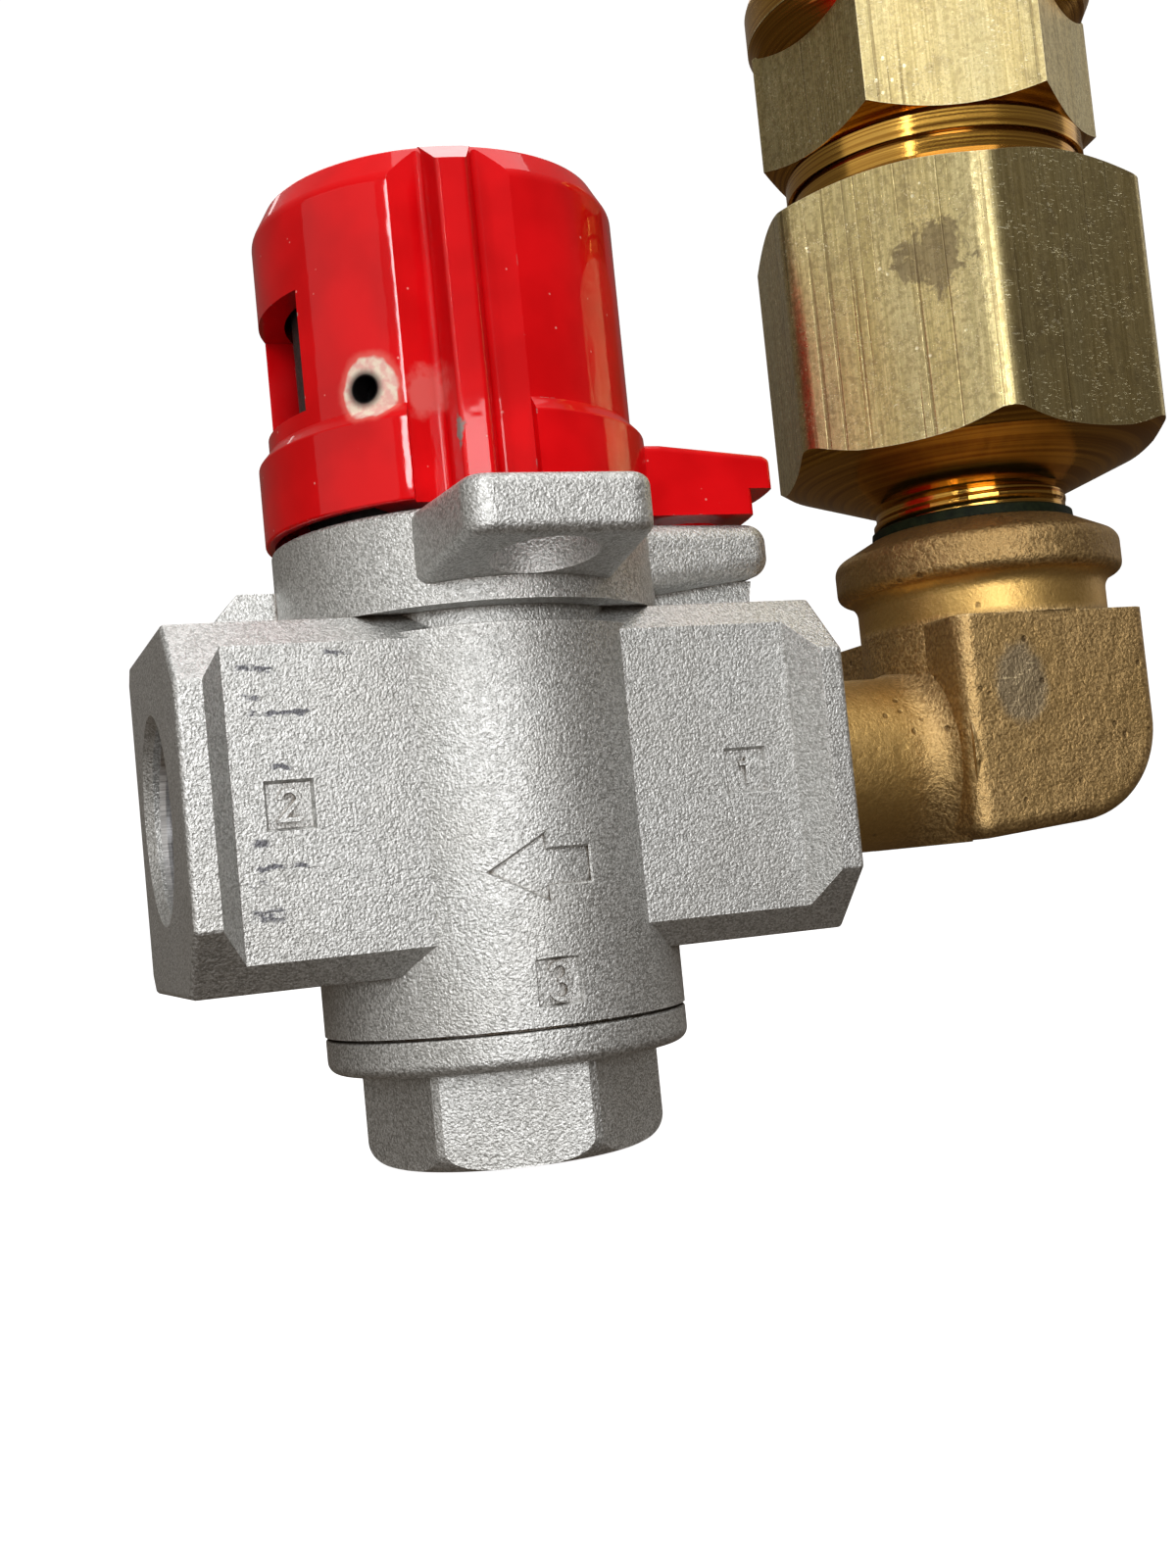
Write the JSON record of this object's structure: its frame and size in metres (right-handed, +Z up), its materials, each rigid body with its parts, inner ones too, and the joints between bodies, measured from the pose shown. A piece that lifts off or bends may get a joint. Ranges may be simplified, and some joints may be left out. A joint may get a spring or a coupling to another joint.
{
  "type": "three way valve",
  "caption": "Lock-out three way air valve with a red quarter-turn knob, padlock lug and tab, threaded ports, and a brass elbow with hexagonal compression coupling.",
  "frame": {"origin": "where the axis of the two side ports crosses the axis of the knob and spool", "axes": "+Z up the spool axis towards the knob, +X towards port 1 with the brass elbow, -X out of port 2, -Y towards the front of the body with the port numbers and the padlock lug"},
  "size_m": [0.1248, 0.0563, 0.1372],
  "materials": {
    "grey_paint": "satin",
    "red_paint": "gloss",
    "black_plastic": "matte",
    "rubber": "matte",
    "aluminium": "satin",
    "steel": "satin",
    "nylon": "matte",
    "cast_brass": "matte",
    "brass": "satin",
    "sealant": "matte"
  },
  "bodies": {
    "root": {"valve_body": "grey_paint", "exhaust_cap": "grey_paint", "exhaust_cap_o_ring": "rubber", "valve_sleeve": "aluminium", "sleeve_o_rings": "rubber", "return_spring": "steel", "spring_seat": "steel", "bonnet": "grey_paint", "bonnet_o_ring": "rubber", "bonnet_screws": "steel", "guide_tube": "steel", "thrust_washer": "nylon", "retaining_ring": "steel", "indicator_sleeve": "black_plastic", "stop_pin": "steel", "elbow_fitting": "cast_brass", "thread_sealant": "sealant", "adapter_body": "brass", "compression_nut": "brass", "compression_ferrule": "brass"},
    "knob": {"knob": "red_paint", "knob_set_screw": "steel", "cam_sleeve": "steel"},
    "spool": {"spool": "aluminium", "spool_seals": "rubber", "cam_pin": "steel"}
  },
  "joints": [
    {"name": "knob_turn", "type": "hinge", "parent": "root", "child": "knob", "pos_m": [0, 0, 0], "axis": [0, 0, 1], "range_deg": [-90, 0]},
    {"name": "spool_slide", "type": "slide", "parent": "root", "child": "spool", "axis": [0, 0, 1], "range_m": [0, 0.009], "deforming": ["return_spring"]}
  ],
  "couplings": [
    {"joint": "spool_slide", "follows": "knob_turn", "m_per_rad": -0.0057295}
  ]
}
